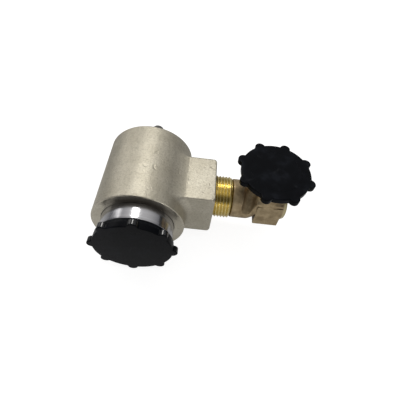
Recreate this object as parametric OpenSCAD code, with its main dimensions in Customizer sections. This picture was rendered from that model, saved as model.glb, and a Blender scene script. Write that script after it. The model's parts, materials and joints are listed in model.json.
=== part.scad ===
// Point-of-use gas regulator with a screwed-in brass shut-off valve.
// The regulator axis runs along Y with its adjusting knob towards -Y.
// The valve lies along X and its handwheel turns about Z.
// The origin is the centre of the inlet port's mouth.

/* [Regulator body] */
// Radius of the round body
body_r = 25; // [24:0.5:27]
// Distance from the boss axis to the body's front face
body_front = 24.8; // [24:0.2:27]
// Distance from the boss axis to the body's back face
body_back = 26.6; // [26:0.2:29]
// Width across the flats of the square side boss
boss_w = 30.8; // [29:0.2:33]
// Distance from the regulator axis to the end face of the boss
boss_end = 40; // [38:0.5:44]
// Radius of the rounded back edge
back_round = 1; // [0.5:0.5:4]

/* [Bonnet] */
// Radius of the polished bonnet ring
bonnet_r = 19.5; // [18.8:0.1:19.8]
// How far the ring stands out of the front face
bonnet_out = 9.1; // [8:0.1:11]

/* [Adjusting knob] */
// Radius of the knob's disc between its lobes
knob_r = 20.8; // [20:0.2:22]
// Radius of one grip lobe
knob_lobe_r = 2.6; // [2:0.1:3]
// Thickness of the knob's disc
knob_t = 5.2; // [5:0.1:8]
// Thickness of its lobes, which are flush with its face
knob_lobe_t = 3.4; // [2:0.1:5]
// Grip lobes on each of the two knobs
lobe_count = 8; // [6:1:10]
// Turns of the knob from fully out to fully in
knob_turns = 2.667; // [1:0.001:2.667]
// Lead of the adjusting screw
screw_lead = 1.5; // [1:0.25:1.5]

/* [Shut-off valve] */
// Outer radius of the male thread that screws into the boss
thread_r = 12.1; // [12:0.02:12.14]
// Pitch of that thread, 14 threads to the inch
thread_pitch = 1.814; // [1.5:0.001:2]
// Length of thread left showing between boss and neck
thread_out = 10; // [8:0.5:12]
// Radius of the round neck
neck_r = 11.3; // [10.8:0.1:11.6]
// Half width of the square valve chamber
chamber_h = 10; // [9.5:0.1:10.5]
// Minor radius of the inlet port's G 1/4 thread
port_r = 5.72; // [5.5:0.01:5.8]
// Length of that thread
port_len = 8; // [7:0.1:8]

/* [Handwheel] */
// Radius of the handwheel's disc between its lobes
wheel_r = 19.3; // [18:0.1:20]
// Radius of one handwheel lobe
wheel_lobe_r = 2.85; // [2:0.05:3]
// Height of the handwheel's face above the valve axis
wheel_top = 28; // [27.4:0.1:30]
// Thickness of the handwheel's rim
wheel_t = 3.4; // [2.8:0.1:5]

/* [Hose tail] */
// Radius over the barbs
barb_r = 4.5; // [4.1:0.1:4.8]
// Number of barbs
barb_count = 4; // [2:1:4]
// Hexagon across flats
tail_hex = 24; // [20:1:24]

/* [Hidden] */

fine = 96;
small = 48;
far = 200;
slack = 0.05;              // radial running clearance
gap = 0.3;                 // gap between pieces that move past each other

thread_in = 14;            // length of the male thread inside the boss
neck_start = boss_end + thread_out;
chamber_x = 71;            // spindle axis, from the regulator axis
chamber_start = 65.2;      // ends of the square chamber along X
chamber_stop = 80.2;
neck_end = 62;
port_x = 83;               // mouth of the inlet port, at the end of the round part
chamber_top = 6.5;         // top of the square part
shoulder_top = 8;          // top of the narrower part above it
shoulder_h = 9.5;
end_r = 8.7;               // round end outside the inlet port
tower_top = 14;            // top of the round tower that carries the headpiece
tower_r = 9;

ring_front = -(body_front + bonnet_out);
bore_r = 20.2;             // bonnet bore of the body
step_y = -9;               // shoulder that the diaphragm is clamped on
low_r = 17;                // low pressure chamber
wall_front = -5;           // wall between the two pressure chambers
wall_back = -1;
nozzle_r = 5;
high_r = 8;                // high pressure chamber
high_back = 13;
rear_r = 10;               // rear bore, for the hose tail's thread
spot_depth = 0.8;

membrane_t = 0.8;
slip_t = 0.6;
roll_r = 14;               // where the diaphragm's rolled convolution stands
plate_front = -12.6;       // spring side of the diaphragm plate
spring_solid = 8;          // length left to the adjusting spring when it is fully screwed in
nut_t = 4;
nut_back = plate_front - spring_solid - knob_turns * screw_lead;
nut_front = nut_back - nut_t;
collar_back = -28.9;
screw_r = 3.6;             // pitch radius of the adjusting screw's M8 thread
journal_r = 5;             // where the screw turns in the bonnet
face_t = 3.4;              // thickness of the bonnet's front wall
drill_r = 1.6;             // gas drilling from the low pressure chamber to the outlet
drill_x = -11.5;
gallery_r = 13.2;          // groove round the rear bore that the drilling opens into
gallery_y = 14;
gallery_w = 3;
filter_r = 8;              // pocket of the inlet filter
filter_x = 18.6;
filter_t = 4.8;
inlet_drill_r = 3;
inlet_drill_z = 3.4;
stem_r = 2;                // poppet stem and its guide
guide_y = 7.7;
seal_y = 10;
lobe_turn = -2.4;          // how the knob stands at rest
wheel_turn = -19.5;

// Cylinders along each axis, from one coordinate to another
module x_cyl(r, x0, x1, y = 0, z = 0, n = fine)
    translate([x0, y, z]) rotate([0, 90, 0]) cylinder(r = r, h = x1 - x0, $fn = n);
module y_cyl(r, y0, y1, x = 0, z = 0, n = fine)
    translate([x, y0, z]) rotate([-90, 0, 0]) cylinder(r = r, h = y1 - y0, $fn = n);
module z_cyl(r, z0, z1, x = 0, y = 0, n = fine)
    translate([x, y, z0]) cylinder(r = r, h = z1 - z0, $fn = n);

// Turned shapes about each axis: the outline gives radius and distance along the axis
module x_turned() rotate([0, 90, 0]) rotate_extrude($fn = fine) children();
module y_turned() rotate([-90, 0, 0]) rotate_extrude($fn = fine) children();
module z_turned() rotate_extrude($fn = fine) children();

// Hexagon prism along Z
module hexagon(af, z0, z1)
    translate([0, 0, z0]) cylinder(r = af / 2 / cos(30), h = z1 - z0, $fn = 6);

// Hexagon with its corners turned off at both ends
module turned_hexagon(af, z0, z1, chamfer = 0.8)
    intersection() {
        hexagon(af, z0, z1);
        z_turned() polygon([
            [0, z0], [af / 2, z0], [af / 2 + 2, z0 + chamfer],
            [af / 2 + 2, z1 - chamfer], [af / 2, z1], [0, z1]
        ]);
    }

// Ring profile for a seal of round section
module seal_ring(r, section)
    translate([r, 0]) circle(r = section, $fn = small);

// The whole model stands in the frame of the inlet port
module in_port_frame() translate([-port_x, 0, 0]) children();

// ---- regulator body ----
module barrel_blank()
    y_turned() {
        polygon([
            [0, -body_front], [body_r - 0.7, -body_front], [body_r, -body_front + 0.7],
            [body_r, body_back - back_round], [body_r - back_round, body_back], [0, body_back]
        ]);
        translate([body_r - back_round, body_back - back_round]) circle(r = back_round, $fn = small);
    }

boss_h = boss_w / 2;
boss_round = 1.5;
module boss_blank()
    intersection() {
        union() {
            translate([0, -boss_h, -boss_h + boss_round])
                cube([boss_end, boss_w, boss_w - 2 * boss_round]);
            translate([0, -boss_h + boss_round, -boss_h])
                cube([boss_end, boss_w - 2 * boss_round, boss_w]);
            for (sy = [-1, 1], sz = [-1, 1])
                x_cyl(boss_round, 0, boss_end, sy * (boss_h - boss_round), sz * (boss_h - boss_round));
        }
        x_turned() polygon([
            [0, 0], [boss_h + 8, 0], [boss_h + 8, boss_end - 2.6], [boss_h + 5, boss_end], [0, boss_end]
        ]);
    }

// Concave blends where the boss leaves the barrel
blend_r = 4;
blend_x = sqrt(pow(body_r + blend_r, 2) - pow(boss_h + blend_r, 2));
blend_share = body_r / (body_r + blend_r);
module flat_blend()
    translate([0, boss_h - boss_round, 0]) rotate([90, 0, 0]) linear_extrude(boss_w - 2 * boss_round)
        difference() {
            polygon([
                [14, 12], [blend_x, 12], [blend_x, boss_h],
                [blend_x * blend_share, (boss_h + blend_r) * blend_share]
            ]);
            translate([blend_x, boss_h + blend_r]) circle(r = blend_r, $fn = fine);
        }
module round_blend()
    intersection() {
        rotate([-90, 0, 0]) rotate([0, 0, -40]) rotate_extrude(angle = 80, $fn = fine)
            difference() {
                translate([body_r - 1, boss_h - 1]) square(blend_r + 1);
                translate([body_r + blend_r, boss_h + blend_r]) circle(r = blend_r, $fn = fine);
            }
        translate([0, 0, -boss_h + boss_round]) cube([far, far, boss_w - 2 * boss_round]);
    }

module body_bores() {
    y_cyl(bore_r + 1.2, -far, -body_front + 1.4);
    y_cyl(bore_r, -far, step_y);
    y_cyl(low_r, step_y - 1, wall_front);
    y_cyl(nozzle_r, wall_front - 1, wall_back + 1);
    y_cyl(high_r, wall_back, high_back);
    y_cyl(rear_r, high_back, far);
    y_cyl(gallery_r, gallery_y, gallery_y + gallery_w);
    y_cyl(drill_r, wall_front - 1, gallery_y + 2, drill_x, 0, small);
    y_cyl(tail_hex / 2 / cos(30) + 1, body_back - spot_depth, far);
    x_cyl(thread_r + slack, boss_end - thread_in - 1.6, far);
    x_cyl(filter_r, filter_x, boss_end);
    x_cyl(inlet_drill_r, 0, boss_end, 0, inlet_drill_z, small);
}

module regulator_body()
    in_port_frame() color("#b9b3a2")
        difference() {
            union() {
                barrel_blank();
                boss_blank();
                for (m = [0, 1])
                    mirror([0, 0, m]) flat_blend();
                for (m = [0, 1])
                    mirror([0, m, 0]) round_blend();
            }
            body_bores();
        }

// ---- bonnet and adjusting parts ----
spring_room = 14;          // radius left for the adjusting spring
key_reach = 15.8;          // how far the nut's two keys reach from the axis
key_w = 4.6;
key_slot = 14.5;           // middle of the slots that the keys slide in
module bonnet()
    in_port_frame() color("#c9cacd")
        difference() {
            y_turned() polygon([
                [0, ring_front], [bonnet_r - 0.8, ring_front], [bonnet_r, ring_front + 0.8],
                [bonnet_r, -body_front + 1.6], [bore_r - slack, -body_front + 2.2],
                [bore_r - slack, step_y - membrane_t - slip_t], [0, step_y - membrane_t - slip_t]
            ]);
            y_cyl(spring_room, ring_front + face_t, 0);
            y_cyl(roll_r + 2.6, step_y - 3, 0);
            y_cyl(journal_r + slack, -far, 0);
            for (s = [-1, 1])
                translate([s * key_slot - 2, ring_front + face_t, -key_w / 2 - gap])
                    cube([4, far, key_w + 2 * gap]);
        }

module slip_ring()
    in_port_frame() color("#d8d3c0")
        difference() {
            y_cyl(bore_r - 0.1, step_y - membrane_t - slip_t, step_y - membrane_t);
            y_cyl(low_r, -20, 0);
        }

// Moulded membrane with one rolled convolution
module diaphragm()
    in_port_frame() color("#2c2c2e")
        y_turned() difference() {
            union() {
                translate([2.6, step_y - membrane_t]) square([bore_r - 0.1 - 2.6, membrane_t]);
                translate([roll_r, step_y - 0.4]) circle(r = 1 + membrane_t, $fn = small);
            }
            translate([roll_r, step_y - 0.4]) circle(r = 1, $fn = small);
            translate([roll_r - 1.8, step_y]) square([3.6, 4]);
            translate([roll_r - 1, step_y - 0.9]) square([2, 1]);
        }

module diaphragm_plate()
    in_port_frame() color("#c7a45a")
        y_turned() polygon([
            [0, plate_front - 1.5], [6.5, plate_front - 1.5], [6.5, plate_front], [10.6, plate_front],
            [10.6, step_y - membrane_t - gap], [10, step_y - membrane_t], [2.5, step_y - membrane_t],
            [2.5, -7.9], [0, -7.9]
        ]);

module diaphragm_washer()
    in_port_frame() color("#b9bcc0")
        difference() {
            y_cyl(6.5, step_y, step_y + 0.8);
            y_cyl(2.5, -20, 0, n = small);
        }

// Coil spring along Z with one closed coil at each end
function coil_height(t, turns, wire, length) =
    t < 1 ? wire * (1 + 2.05 * t)
    : t > turns - 1 ? length - wire * (1 + 2.05 * (turns - t))
    : wire * 3.05 + (length - 6.1 * wire) * (t - 1) / (turns - 2);
module coil_spring(r, wire, length, turns, sides = 8, steps = 20) {
    rings = turns * steps;
    points = [
        for (i = [0 : rings], k = [0 : sides - 1])
            let (a = 360 * i / steps, b = 360 * k / sides)
            [(r + wire * cos(b)) * cos(a), (r + wire * cos(b)) * sin(a),
             coil_height(i / steps, turns, wire, length) + wire * sin(b)]
    ];
    walls = [
        for (i = [0 : rings - 1], k = [0 : sides - 1])
            let (n = (k + 1) % sides)
            [i * sides + k, (i + 1) * sides + k, (i + 1) * sides + n, i * sides + n]
    ];
    caps = [
        [for (k = [0 : sides - 1]) k],
        [for (k = [sides - 1 : -1 : 0]) rings * sides + k]
    ];
    polyhedron(points = points, faces = concat(walls, caps));
}

module adjusting_spring()
    in_port_frame() color("#6d7278")
        translate([0, nut_back, 0]) rotate([-90, 0, 0])
            coil_spring(8.9, 0.9, plate_front - nut_back, 3.5);

// Nut that the screw drives along the bonnet, held from turning by two keys
module spring_nut()
    in_port_frame() color("#c7a45a")
        difference() {
            union() {
                y_cyl(11, nut_front, nut_back);
                y_cyl(7.4, nut_back, nut_back + 1.2);
                translate([-key_reach, nut_front, -key_w / 2]) cube([2 * key_reach, nut_t, key_w]);
            }
            y_cyl(screw_r + slack, -far, 0, n = small);
        }

knob_back = ring_front - 0.7;
knob_front = knob_back - knob_t;
screw_end = knob_front + 2.8;
flat_cut = 3.4;            // flat on the screw that carries the knob
module adjusting_screw()
    in_port_frame() color("#a9adb2")
        difference() {
            union() {
                y_cyl(screw_r, collar_back - 1, -15.5, n = small);
                y_cyl(7, collar_back - 1, collar_back);
                y_cyl(journal_r, screw_end, collar_back, n = small);
            }
            translate([flat_cut, ring_front - 10, -10]) cube([10, 10, 20]);
            y_cyl(1.6, -far, ring_front + 4, n = small);
        }

module thrust_washer()
    in_port_frame() color("#d9d5c8")
        difference() {
            y_cyl(7.5, ring_front + face_t, collar_back - 1 - slack);
            y_cyl(journal_r + slack, -far, 0, n = small);
        }

// Blank shared by both knobs: a disc with round grip lobes, all flush with its face at z = 0
module lobed_disc(r, t, lobe_r, lobe_t) {
    z_cyl(r, -t, 0);
    for (i = [0 : lobe_count - 1])
        rotate(360 / lobe_count * i) z_cyl(lobe_r, -lobe_t, 0, r - 0.2, 0, small);
}

cap_r = 16;                // press-in cap over the knob's screw
knob_hollow_r = 17.6;      // hollow back of the moulding, round its hub
knob_hub_r = 8;
knob_web = 2.4;
module knob()
    in_port_frame() color("#17181a")
        difference() {
            translate([0, knob_front, 0]) rotate([90, 0, 0]) rotate(lobe_turn)
                lobed_disc(knob_r, knob_t, knob_lobe_r, knob_lobe_t);
            y_cyl(cap_r + slack, knob_front - 1, knob_front + 1.2);
            y_cyl(3.1, knob_front - 1, knob_front + 2.1, n = small);
            y_cyl(1.7, knob_front, 0, n = small);
            difference() {
                y_cyl(journal_r + 0.02, screw_end - 0.1, 0, n = small);
                translate([flat_cut + 0.02, -far, -10]) cube([10, far, 20]);
            }
            difference() {
                y_cyl(knob_hollow_r, knob_back - knob_web, 0);
                y_cyl(knob_hub_r, -far, 0);
            }
        }

module knob_screw()
    in_port_frame() color("#8d9196")
        union() {
            y_cyl(1.55, knob_front + 2, ring_front + 2, n = small);
            y_cyl(2.9, knob_front + 0.9, knob_front + 2.1, n = small);
        }

module knob_cap()
    in_port_frame() color("#1c1d20")
        union() {
            y_cyl(cap_r, knob_front, knob_front + 0.8);
            difference() {
                y_cyl(cap_r, knob_front + 0.8, knob_front + 1.2);
                y_cyl(cap_r - 2, knob_front, 0);
            }
        }

// ---- valve cartridge of the regulator ----
lip = wall_back + 0.6;     // raised edge of the nozzle that the pad shuts on
module seat_nozzle()
    in_port_frame() color("#c9a65c")
        difference() {
            union() {
                y_cyl(nozzle_r, wall_front, wall_back);
                rotate([-90, 0, 0]) turned_hexagon(11, wall_front - 1.4, wall_front, 0.3);
                y_cyl(2.7, wall_back, lip, n = small);
            }
            y_cyl(1.9, -20, 20, n = small);
        }

module poppet()
    in_port_frame() color("#c9a65c")
        difference() {
            union() {
                y_cyl(1.1, -7.85, lip + 2, n = small);
                y_cyl(4.2, lip + 0.3, lip + 3.4);
                y_cyl(stem_r, lip + 3.4, 10, n = small);
            }
            difference() {
                y_cyl(3.5, lip - 1, lip + 1.6, n = small);
                y_cyl(1.1, -20, 20, n = small);
            }
        }

module poppet_pad()
    in_port_frame() color("#e6e2d6")
        difference() {
            y_cyl(3.5, lip + 0.02, lip + 1.6, n = small);
            y_cyl(1.1, -20, 20, n = small);
        }

module poppet_spring()
    in_port_frame() color("#8b8f94")
        translate([0, lip + 3.5, 0]) rotate([-90, 0, 0])
            coil_spring(3.1, 0.3, guide_y - lip - 3.6, 4.5, 6, 14);

module poppet_guide()
    in_port_frame() color("#c9a65c")
        difference() {
            y_cyl(high_r - slack, guide_y, high_back - 0.2);
            y_cyl(stem_r + slack, 0, high_back - 1.4, n = small);
            translate([-5, high_back - 1.2, -0.7]) cube([10, 4, 1.4]);
            y_turned() translate([high_r, seal_y]) circle(r = 0.8, $fn = small);
        }

module guide_seal()
    in_port_frame() color("#1d1d1f")
        y_turned() difference() {
            translate([0, seal_y]) seal_ring(high_r - 0.05, 0.72);
            translate([high_r - 0.04, 0]) square([4, 20]);
        }

module inlet_filter()
    in_port_frame() color("#b98d4c")
        difference() {
            x_cyl(filter_r - 0.1, filter_x + 0.2, filter_x + filter_t);
            x_cyl(filter_r - 1.6, filter_x + 1.8, 30);
        }

module boss_seal()
    in_port_frame() color("#e8e4da")
        difference() {
            x_cyl(thread_r, boss_end - thread_in - 1.5, boss_end - thread_in);
            x_cyl(filter_r, 0, far);
        }

// ---- outlet ----
tail_y = body_back - spot_depth;
tail_bore_r = 2.2;
hex_back = 32.6;
barb_start = 35.5;
barb_step = 4;
barb_flat = 0.6;
barb_depth = 1;
module hose_tail()
    in_port_frame() color("#8f8f8c")
        difference() {
            union() {
                y_cyl(rear_r - slack, 18.5, tail_y + 0.2);
                rotate([-90, 0, 0]) turned_hexagon(tail_hex, tail_y + 1.2, hex_back);
                y_cyl(rear_r - 0.5, tail_y + 0.2, tail_y + 1.2);
                y_cyl(barb_r - barb_depth, hex_back, barb_start + barb_step);
                for (i = [0 : barb_count - 1])
                    y_turned() polygon([
                        [0, barb_start + barb_step * i], [barb_r, barb_start + barb_step * i],
                        [barb_r, barb_start + barb_step * i + barb_flat],
                        [barb_r - barb_depth, barb_start + barb_step * (i + 1)],
                        [0, barb_start + barb_step * (i + 1)]
                    ]);
            }
            y_cyl(tail_bore_r, 0, far, n = small);
        }

module tail_seal()
    in_port_frame() color("#b5622f")
        difference() {
            y_cyl(tail_hex / 2 - 0.2, tail_y, tail_y + 1.2);
            y_cyl(rear_r, 0, far);
        }

// ---- shut-off valve ----
thread_depth = 1.1;
module ridged_thread(r, x0, count, pitch)
    x_turned() polygon(concat(
        [[0, x0]],
        [for (i = [0 : count - 1]) each [
            [r - thread_depth, x0 + pitch * i], [r, x0 + pitch * (i + 0.42)],
            [r, x0 + pitch * (i + 0.58)]
        ]],
        [[r - thread_depth, x0 + pitch * count], [0, x0 + pitch * count]]
    ));

thread_start = boss_end - thread_in;
thread_crests = floor((neck_start - thread_start) / thread_pitch);
module valve_blank() {
    ridged_thread(thread_r, thread_start, thread_crests, thread_pitch);
    x_cyl(thread_r - thread_depth - 0.2, thread_start + 1, neck_start + 1);
    x_turned() polygon([
        [0, neck_start], [neck_r - 0.4, neck_start], [neck_r, neck_start + 0.4],
        [neck_r, neck_end], [end_r, chamber_start], [end_r, port_x - 0.8],
        [end_r - 0.8, port_x], [0, port_x]
    ]);
    translate([chamber_start, -chamber_h, -chamber_h])
        cube([chamber_stop - chamber_start, 2 * chamber_h, chamber_h + chamber_top]);
    translate([chamber_start - 1, -shoulder_h, 0])
        cube([chamber_stop - chamber_start + 1, 2 * shoulder_h, shoulder_top]);
    z_cyl(tower_r, 0, tower_top, chamber_x);
}

valve_seat_z = -1;
module valve_bores() {
    x_cyl(port_r, port_x - port_len, far);
    x_cyl(2, chamber_x, port_x - port_len + 1, 0, -3.4, small);
    z_cyl(2, -3.4, 10, chamber_x, n = small);
    z_cyl(3.6, valve_seat_z, far, chamber_x, n = small);
    z_cyl(6.5, 6, far, chamber_x);
    x_cyl(2.4, 0, chamber_x - 1, 0, 2.6, small);
    x_cyl(7, 0, thread_start + 4);
}

module valve_body()
    in_port_frame() color("#b0935c")
        difference() {
            valve_blank();
            valve_bores();
        }

module on_spindle() in_port_frame() translate([chamber_x, 0, 0]) children();

head_bottom = tower_top + 0.8;
head_top = 18.8;
module headpiece_seal()
    on_spindle() color("#b5622f")
        difference() {
            z_cyl(8.6, tower_top, head_bottom);
            z_cyl(6.6, 0, far);
        }

// Screwed into the tower; the spindle's thread and its packing run in it
spindle_r = 3;
packing_bottom = 14.5;
module headpiece()
    on_spindle() color("#b39a62")
        difference() {
            union() {
                z_cyl(6.5 - slack, 7, head_bottom);
                turned_hexagon(17, head_bottom, head_top);
            }
            z_cyl(spindle_r + slack, 0, far, n = small);
            z_cyl(4.8, packing_bottom, far, n = small);
        }

module gland_packing()
    on_spindle() color("#e6e3dc")
        difference() {
            z_cyl(4.75, packing_bottom, packing_bottom + 2.6, n = small);
            z_cyl(spindle_r + slack, 0, far, n = small);
        }

gland_top = 20.6;
module gland_nut()
    on_spindle() color("#b39a62")
        difference() {
            union() {
                z_cyl(4.75, packing_bottom + 2.6, head_top, n = small);
                turned_hexagon(12, head_top, gland_top, 0.4);
            }
            z_cyl(spindle_r + slack, 0, far, n = small);
        }

module valve_pad()
    on_spindle() color("#e6e2d6")
        difference() {
            z_cyl(3.3, valve_seat_z + 0.02, 1.4, n = small);
            z_cyl(1.3, 0, far, n = small);
        }

// Threaded spindle with a square for the handwheel and a pip that the pad swivels on
square_w = 4.4;
square_bottom = 21.8;
square_top = wheel_top - 2.6;
module valve_spindle()
    on_spindle() color("#b7b9ba")
        difference() {
            union() {
                z_cyl(1.25, 0.1, 2, n = small);
                z_cyl(spindle_r, 1.4 + slack, square_bottom, n = small);
                intersection() {
                    translate([-square_w / 2, -square_w / 2, square_bottom - 1])
                        cube([square_w, square_w, square_top - square_bottom + 1]);
                    z_cyl(spindle_r, 0, far, n = small);
                }
            }
            z_cyl(1.25, square_top - 5, far, n = small);
        }

wheel_bottom = 21.5;
wheel_hub_r = 7;
wheel_cap_r = 14;
module handwheel()
    on_spindle() color("#17181a")
        difference() {
            union() {
                translate([0, 0, wheel_top]) rotate(wheel_turn)
                    lobed_disc(wheel_r, wheel_t, wheel_lobe_r, wheel_t);
                z_cyl(wheel_hub_r, wheel_bottom, wheel_top - 2);
            }
            z_cyl(wheel_cap_r + slack, wheel_top - 1.6, far);
            z_cyl(4.2, square_top, far, n = small);
            z_cyl(3.8, 0, square_bottom + 0.2, n = small);
            translate([-square_w / 2 - 0.02, -square_w / 2 - 0.02, 0])
                cube([square_w + 0.04, square_w + 0.04, far]);
        }

module wheel_washer()
    on_spindle() color("#9a9da1")
        difference() {
            z_cyl(4, square_top, square_top + 0.4, n = small);
            z_cyl(1.4, 0, far, n = small);
        }

module wheel_screw()
    on_spindle() color("#8d9196")
        union() {
            z_cyl(1.2, square_top - 4, square_top + 0.5, n = small);
            z_cyl(2.6, square_top + 0.4, wheel_top - 1.3, n = small);
        }

module wheel_cap()
    on_spindle() color("#1c1d20")
        union() {
            z_cyl(wheel_cap_r, wheel_top - 1.2, wheel_top);
            difference() {
                z_cyl(wheel_cap_r, wheel_top - 1.6, wheel_top - 1.2);
                z_cyl(wheel_cap_r - 2, 0, far);
            }
        }

regulator_body();
bonnet();
slip_ring();
diaphragm();
diaphragm_plate();
diaphragm_washer();
adjusting_spring();
spring_nut();
adjusting_screw();
thrust_washer();
knob();
knob_screw();
knob_cap();
seat_nozzle();
poppet();
poppet_pad();
poppet_spring();
poppet_guide();
guide_seal();
inlet_filter();
boss_seal();
hose_tail();
tail_seal();
valve_body();
headpiece_seal();
headpiece();
gland_packing();
gland_nut();
valve_pad();
valve_spindle();
handwheel();
wheel_washer();
wheel_screw();
wheel_cap();
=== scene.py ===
# Gas regulator with its shut-off valve: finishes, detailed shells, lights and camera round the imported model
import json
import math

import bpy
import numpy as np
from mathutils import Matrix, Vector


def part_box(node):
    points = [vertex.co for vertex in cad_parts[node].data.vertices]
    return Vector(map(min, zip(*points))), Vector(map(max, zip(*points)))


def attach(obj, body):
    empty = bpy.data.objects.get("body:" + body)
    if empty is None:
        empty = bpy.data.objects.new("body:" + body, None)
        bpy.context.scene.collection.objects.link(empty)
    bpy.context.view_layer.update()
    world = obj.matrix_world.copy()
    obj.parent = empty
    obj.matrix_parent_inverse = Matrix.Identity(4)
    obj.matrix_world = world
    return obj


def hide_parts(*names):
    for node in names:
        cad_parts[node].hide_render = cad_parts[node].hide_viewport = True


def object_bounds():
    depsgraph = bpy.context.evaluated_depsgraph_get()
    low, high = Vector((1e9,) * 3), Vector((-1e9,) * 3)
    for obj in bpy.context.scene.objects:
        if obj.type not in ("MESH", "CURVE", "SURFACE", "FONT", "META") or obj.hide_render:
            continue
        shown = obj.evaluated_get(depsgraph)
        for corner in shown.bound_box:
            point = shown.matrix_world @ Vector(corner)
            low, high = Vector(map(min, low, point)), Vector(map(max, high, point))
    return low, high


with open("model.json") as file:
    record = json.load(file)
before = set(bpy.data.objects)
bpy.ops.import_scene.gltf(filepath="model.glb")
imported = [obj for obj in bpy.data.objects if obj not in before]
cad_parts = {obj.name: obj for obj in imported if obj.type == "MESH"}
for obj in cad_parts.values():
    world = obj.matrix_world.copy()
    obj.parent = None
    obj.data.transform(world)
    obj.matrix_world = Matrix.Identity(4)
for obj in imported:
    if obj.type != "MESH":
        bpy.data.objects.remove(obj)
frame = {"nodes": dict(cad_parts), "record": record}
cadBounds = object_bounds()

mm = 0.001
scene = bpy.context.scene
print("frame loaded:", len(frame["nodes"]), "nodes")

# places, all read from the frame
bodyLow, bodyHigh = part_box("regulator_body")
bonnetLow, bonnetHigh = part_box("bonnet")
knobLow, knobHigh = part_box("knob")
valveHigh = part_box("valve_body")[1]
wheelLow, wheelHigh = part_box("handwheel")
spindleLow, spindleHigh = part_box("valve_spindle")

# shells are worked out in millimetres from the point where the regulator's axis meets the boss's axis
barrelRadius = (bodyHigh.z - bodyLow.z) / 2 / mm
axisX = bodyLow.x + barrelRadius * mm
frontY = bodyLow.y / mm
backY = bodyHigh.y / mm
bossEnd = (bodyHigh.x - axisX) / mm
spindleAt = ((spindleLow.x + spindleHigh.x) / 2 - axisX) / mm


def inFrame(points):
    return np.asarray(points, float) * mm + np.array([axisX, 0.0, 0.0])


def addPiece(name, points, faces, body, material, replaced=()):
    mesh = bpy.data.meshes.new(name)
    mesh.from_pydata(inFrame(points).tolist(), [], [list(map(int, f)) for f in faces])
    mesh.validate()
    mesh.shade_smooth()
    mesh.materials.append(material)
    piece = bpy.data.objects.new(name, mesh)
    scene.collection.objects.link(piece)
    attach(piece, body)
    if replaced:
        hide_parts(*replaced)
    return piece


# distance fields: negative inside, in millimetres
def roundCut(a, b, r):      # what lies in both, with an edge rounded to radius r
    return np.minimum(-r, np.maximum(a, b)) + np.hypot(np.maximum(a + r, 0), np.maximum(b + r, 0))


def roundJoin(a, b, r):     # what lies in either, with a fillet of radius r
    return np.maximum(r, np.minimum(a, b)) - np.hypot(np.maximum(r - a, 0), np.maximum(r - b, 0))


def slope(field, points, step=0.02):
    out = np.empty_like(points)
    for axis in range(3):
        shift = np.zeros(3)
        shift[axis] = step
        out[:, axis] = field(*(points + shift).T) - field(*(points - shift).T)
    return out / (2 * step)


# a closed mesh where the field is zero: one point per mixed cell, one face per crossed edge
def surfaceNet(field, low, high, cell):
    axes = [np.arange(lo, hi + cell, cell) for lo, hi in zip(low, high)]
    values = field(*np.meshgrid(*axes, indexing="ij"))
    cellShape = tuple(n - 1 for n in values.shape)
    total = int(np.prod(cellShape))
    sums, hits, quads = np.zeros((total, 3)), np.zeros(total), []
    for axis in range(3):
        u, v = (axis + 1) % 3, (axis + 2) % 3
        below = np.take(values, range(values.shape[axis] - 1), axis)
        above = np.take(values, range(1, values.shape[axis]), axis)
        crossed = (below < 0) != (above < 0)
        spot = np.argwhere(crossed)
        a, b = below[crossed], above[crossed]
        place = spot.astype(float)
        place[:, axis] += a / (a - b)
        ring = []
        for du, dv in ((0, 0), (-1, 0), (-1, -1), (0, -1)):
            corner = spot.copy()
            corner[:, u] += du
            corner[:, v] += dv
            flat = np.ravel_multi_index(corner.T, cellShape)
            for k in range(3):
                sums[:, k] += np.bincount(flat, place[:, k], total)
            hits += np.bincount(flat, minlength=total)
            ring.append(flat)
        quad = np.stack(ring, 1)
        flip = a >= 0
        quad[flip] = quad[flip][:, ::-1]
        quads.append(quad)
    used = hits > 0
    number = np.cumsum(used) - 1
    points = sums[used] / hits[used][:, None] * cell + np.array(low)
    for _ in range(4):
        distance, normal = field(*points.T), slope(field, points)
        move = normal * (distance / np.maximum((normal ** 2).sum(1), 0.05))[:, None]
        points = points - np.clip(move, -0.6 * cell, 0.6 * cell)
    return points, number[np.concatenate(quads)]


# a shell of a field, with how open each spot is kept on the mesh for the painted shade and grime in its
# corners
def addShell(name, field, low, high, cell, body, material, replaced):
    points, quads = surfaceNet(field, low, high, cell)
    piece = addPiece(name, points, quads, body, material, replaced)
    normal = slope(field, points)
    normal /= np.maximum(np.linalg.norm(normal, axis=1), 1e-6)[:, None]
    openness = np.zeros(len(points))
    for reach in (0.6, 1.6, 3.5):
        openness += np.clip(field(*(points + normal * reach).T) / reach, 0, 1) / 3
    layer = piece.data.attributes.new("openness", "FLOAT", "POINT")
    layer.data.foreach_set("value", openness.astype(np.float32))
    piece.data.normals_split_custom_set_from_vertices(normal.tolist())
    print(" ", name, len(points), "points")
    return piece


# outlines for turned pieces: (radius, distance along the axis, rounding) become points with round corners
def softOutline(corners, steps=5, closed=False):
    out, count = [], len(corners)
    for i, (r, a, rounding) in enumerate(corners):
        here = np.array([r, a], float)
        if rounding <= 0 or (not closed and i in (0, count - 1)):
            out.append(here)
            continue
        before = np.array(corners[i - 1][:2], float) - here
        after = np.array(corners[(i + 1) % count][:2], float) - here
        reach = min(rounding, 0.49 * np.hypot(*before), 0.49 * np.hypot(*after))
        start = here + before / np.hypot(*before) * reach
        end = here + after / np.hypot(*after) * reach
        for t in np.linspace(0, 1, steps + 1):
            out.append(start * (1 - t) ** 2 + here * 2 * t * (1 - t) + end * t ** 2)
    return np.array(out)


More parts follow.
